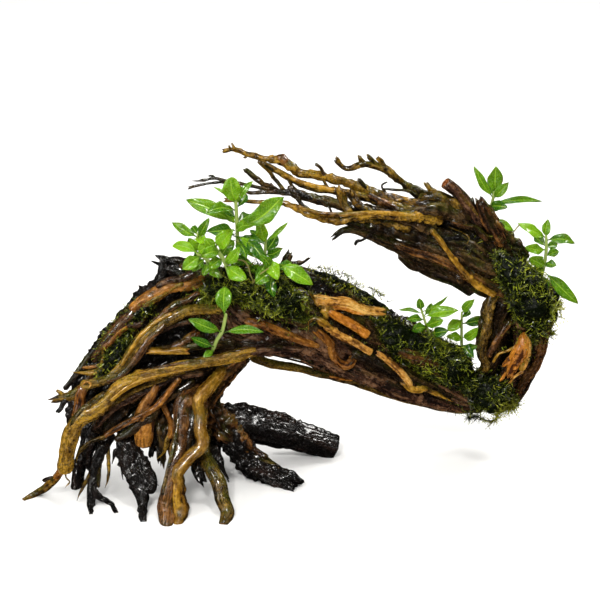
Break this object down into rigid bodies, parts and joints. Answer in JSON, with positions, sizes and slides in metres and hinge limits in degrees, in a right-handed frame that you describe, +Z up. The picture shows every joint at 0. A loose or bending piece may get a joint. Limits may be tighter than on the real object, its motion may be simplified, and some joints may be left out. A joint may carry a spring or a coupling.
{
  "type": "moss tree on driftwood",
  "caption": "Many-rooted driftwood that stands on its legs and curls back over itself, with pads of moss and leafy green shoots; an ornament for an aquarium.",
  "frame": {"origin": "middle of the tree's footprint box on the surface that it stands on", "axes": "+X to the right, along the trunk towards the bend; +Y away from the front; +Z up"},
  "size_m": [0.3637, 0.1293, 0.2177],
  "materials": {
    "golden_wood": "gloss",
    "olive_wood": "gloss",
    "brown_wood": "gloss",
    "orange_wood": "satin",
    "charred_wood": "gloss",
    "moss": "matte",
    "stem": "satin",
    "leaf": "satin"
  },
  "bodies": {
    "root": {"arm_core": "brown_wood", "arm_cut_stub": "brown_wood", "arm_fork_branch": "charred_wood", "arm_high_branch": "olive_wood", "arm_long_branch": "olive_wood", "arm_low_branch": "olive_wood", "arm_middle_branch": "olive_wood", "back_root": "charred_wood", "base_log": "charred_wood", "bend_front_root": "orange_wood", "bend_inner_root": "olive_wood", "bend_outer_root": "brown_wood", "bend_rear_root": "charred_wood", "black_leg": "charred_wood", "brown_leg": "brown_wood", "crown_knuckle": "charred_wood", "forked_leg": "charred_wood", "front_root": "golden_wood", "golden_leg": "golden_wood", "hanging_root": "orange_wood", "inner_root": "brown_wood", "leaf_arm_droop": "leaf", "leaf_arm_up": "leaf", "leaf_crown_far": "leaf", "leaf_crown_left": "leaf", "leaf_crown_right": "leaf", "leaf_crown_top": "leaf", "leaf_front_left": "leaf", "leaf_front_up": "leaf", "left_foot": "olive_wood", "middle_root": "golden_wood", "moss_bend_low": "moss", "moss_bend_top": "moss", "moss_crown": "moss", "moss_left": "moss", "moss_ridge": "moss", "moss_trunk": "moss", "olive_leg": "olive_wood", "rear_root": "charred_wood", "second_root": "golden_wood", "shoot_arm_right": "stem", "shoot_arm_top": "stem", "shoot_crown_far": "stem", "shoot_crown_front": "stem", "shoot_crown_left": "stem", "shoot_crown_low": "stem", "shoot_crown_main": "stem", "shoot_crown_right": "stem", "shoot_front": "stem", "shoot_trunk_left": "stem", "shoot_trunk_right": "stem", "thin_root": "orange_wood", "third_root": "brown_wood", "trunk_core": "brown_wood", "trunk_low_root": "olive_wood", "trunk_pale_root": "golden_wood", "trunk_ridge_root": "charred_wood", "trunk_torn_root": "orange_wood"}
  },
  "joints": []
}
